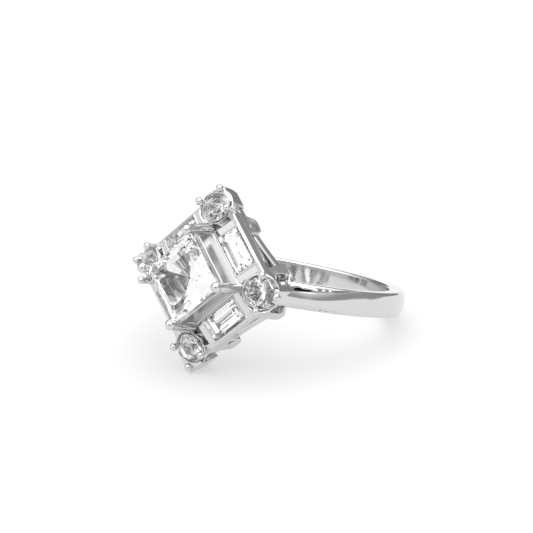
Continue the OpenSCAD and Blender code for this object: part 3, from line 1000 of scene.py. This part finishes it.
# %% The table
def table_top(reach):
    """A square sheet that goes this far, in metres, to each side."""
    material, tree = new_material("white_table")
    place = add_node(tree, "ShaderNodeTexCoord", out="Object")
    cloud = add_node(tree, "ShaderNodeTexNoise", None,
                     {"Vector": place, "Scale": 30.0, "Detail": 2.0})
    colour = add_node(tree, "ShaderNodeMix", {"data_type": "RGBA"}, {
        "Factor_Float": cloud,
        "A_Color": (0.38, 0.38, 0.38, 1),
        "B_Color": (0.37, 0.37, 0.37, 1)}, out="Result_Color")
    shader = add_node(tree, "ShaderNodeBsdfPrincipled", None, {
        "Base Color": colour, "Roughness": 0.9, "Specular IOR Level": 0.0,
        "Emission Color": (1.0, 1.0, 1.0, 1), "Emission Strength": 0.5})
    finish_tree(tree, shader)
    mesh = bpy.data.meshes.new("table")
    points = [(x * reach, y * reach, 0) for x, y in ((-1, -1), (1, -1), (1, 1), (-1, 1))]
    mesh.from_pydata(points, [], [(0, 1, 2, 3)])
    mesh.materials.append(material)
    thing = bpy.data.objects.new("table", mesh)
    bpy.context.scene.collection.objects.link(thing)


table_reach = 0.4
table_top(table_reach)
print("the table is", 2 * table_reach, "m square")

# %% The room
def ramp(value, start, end):
    """0 before the start and 1 past the end, on a soft curve."""
    return add_node(value.tree, "ShaderNodeMapRange", {"interpolation_type": "SMOOTHSTEP"},
                    {"Value": value, "From Min": start, "From Max": end})


def lobe(way, direction, edge, width):
    """1 where a direction lies near another one, 0 far from it; edge and width are cosines."""
    unit = Vector(direction).normalized()
    near = add_node(way.tree, "ShaderNodeVectorMath", {"operation": "DOT_PRODUCT"},
                    {0: way, 1: tuple(unit)}, out="Value")
    return ramp(near, edge - width, edge + width)


def room():
    """The white room with its grey band, its overhead sheet and its dark place."""
    world = bpy.data.worlds.new("room")
    bpy.context.scene.world = world
    world.use_nodes = True
    tree = world.node_tree
    tree.nodes.clear()
    way = add_node(tree, "ShaderNodeTexCoord", out="Generated")
    height = add_node(tree, "ShaderNodeSeparateXYZ", None, {"Vector": way}, out="Z")
    depth = other_output(height, "Y")
    side = other_output(height, "X")
    grey = 0.3 + side * 0.12
    ceiling = ramp(height, 0.25, 0.8) * 0.5
    front = ramp(depth, 0.1, -0.55) * (0.72 + height * 0.25)
    sheet = lobe(way, (0.05, 0.25, 1.0), 0.87, 0.05) * 1.1
    dark = lobe(way, (0.5, -0.82, 0.22), 0.93, 0.04) * 0.85
    floor_side = ramp(height + depth * 0.07, 0.11, -0.05)
    light = (grey + ceiling + front + sheet) * (1 - dark)
    light = light * (1 - floor_side) + floor_side
    background = add_node(tree, "ShaderNodeBackground", None, {"Color": light, "Strength": 1.0})
    output = tree.nodes.new("ShaderNodeOutputWorld")
    tree.links.new(background.socket, output.inputs["Surface"])


def soft_sun(name, direction, spread, power):
    """A distant light that shines from this direction, as wide as this angle."""
    data = bpy.data.lights.new(name, "SUN")
    data.angle = math.radians(spread)
    data.energy = power
    thing = bpy.data.objects.new(name, data)
    thing.rotation_euler = Vector(direction).to_track_quat("Z", "Y").to_euler()
    bpy.context.scene.collection.objects.link(thing)


room()
soft_sun("soft overhead light", (-0.1, -0.1, 1), spread=70, power=0.9)
print("the room has", len(bpy.context.scene.world.node_tree.nodes), "nodes and one soft light")

# %% [markdown]
# The camera stands where the photograph was taken from. Its place was found by fitting the ring's
# own symmetry: four equal claws, four equal corner stones and a round finger hole. It is written
# in the ring's axes and laid down with the ring. Light goes to and fro many times inside a cut
# stone, so its paths may be long; when they are cut short, facets turn black.

# %% The camera
def camera():
    """The fitted camera: its place and its three directions are in the ring's axes."""
    place = Vector((67.534, 12.223, 97.537))
    right = Vector((0.7909, 0.177, -0.5858))
    down = Vector((0.199, -0.9796, -0.0273))
    forward = Vector((-0.5787, -0.0949, -0.81))
    turn = LAID.to_3x3().normalized()
    columns = Matrix((turn @ right, turn @ -down, turn @ -forward)).transposed()
    data = bpy.data.cameras.new("camera")
    data.lens = 96.86
    data.sensor_width = 36
    data.clip_start = 0.005
    data.clip_end = 20
    thing = bpy.data.objects.new("camera", data)
    thing.matrix_world = (Matrix.Translation(LAID @ place)
                          @ columns.to_quaternion().to_matrix().to_4x4())
    bpy.context.scene.collection.objects.link(thing)
    bpy.context.scene.camera = thing


camera()
bpy.context.scene.view_settings.view_transform = "Standard"
light_paths = bpy.context.scene.cycles
light_paths.max_bounces = 32
light_paths.glossy_bounces = 8
light_paths.transmission_bounces = 32
print("the camera's lens is", round(bpy.context.scene.camera.data.lens, 2), "mm")
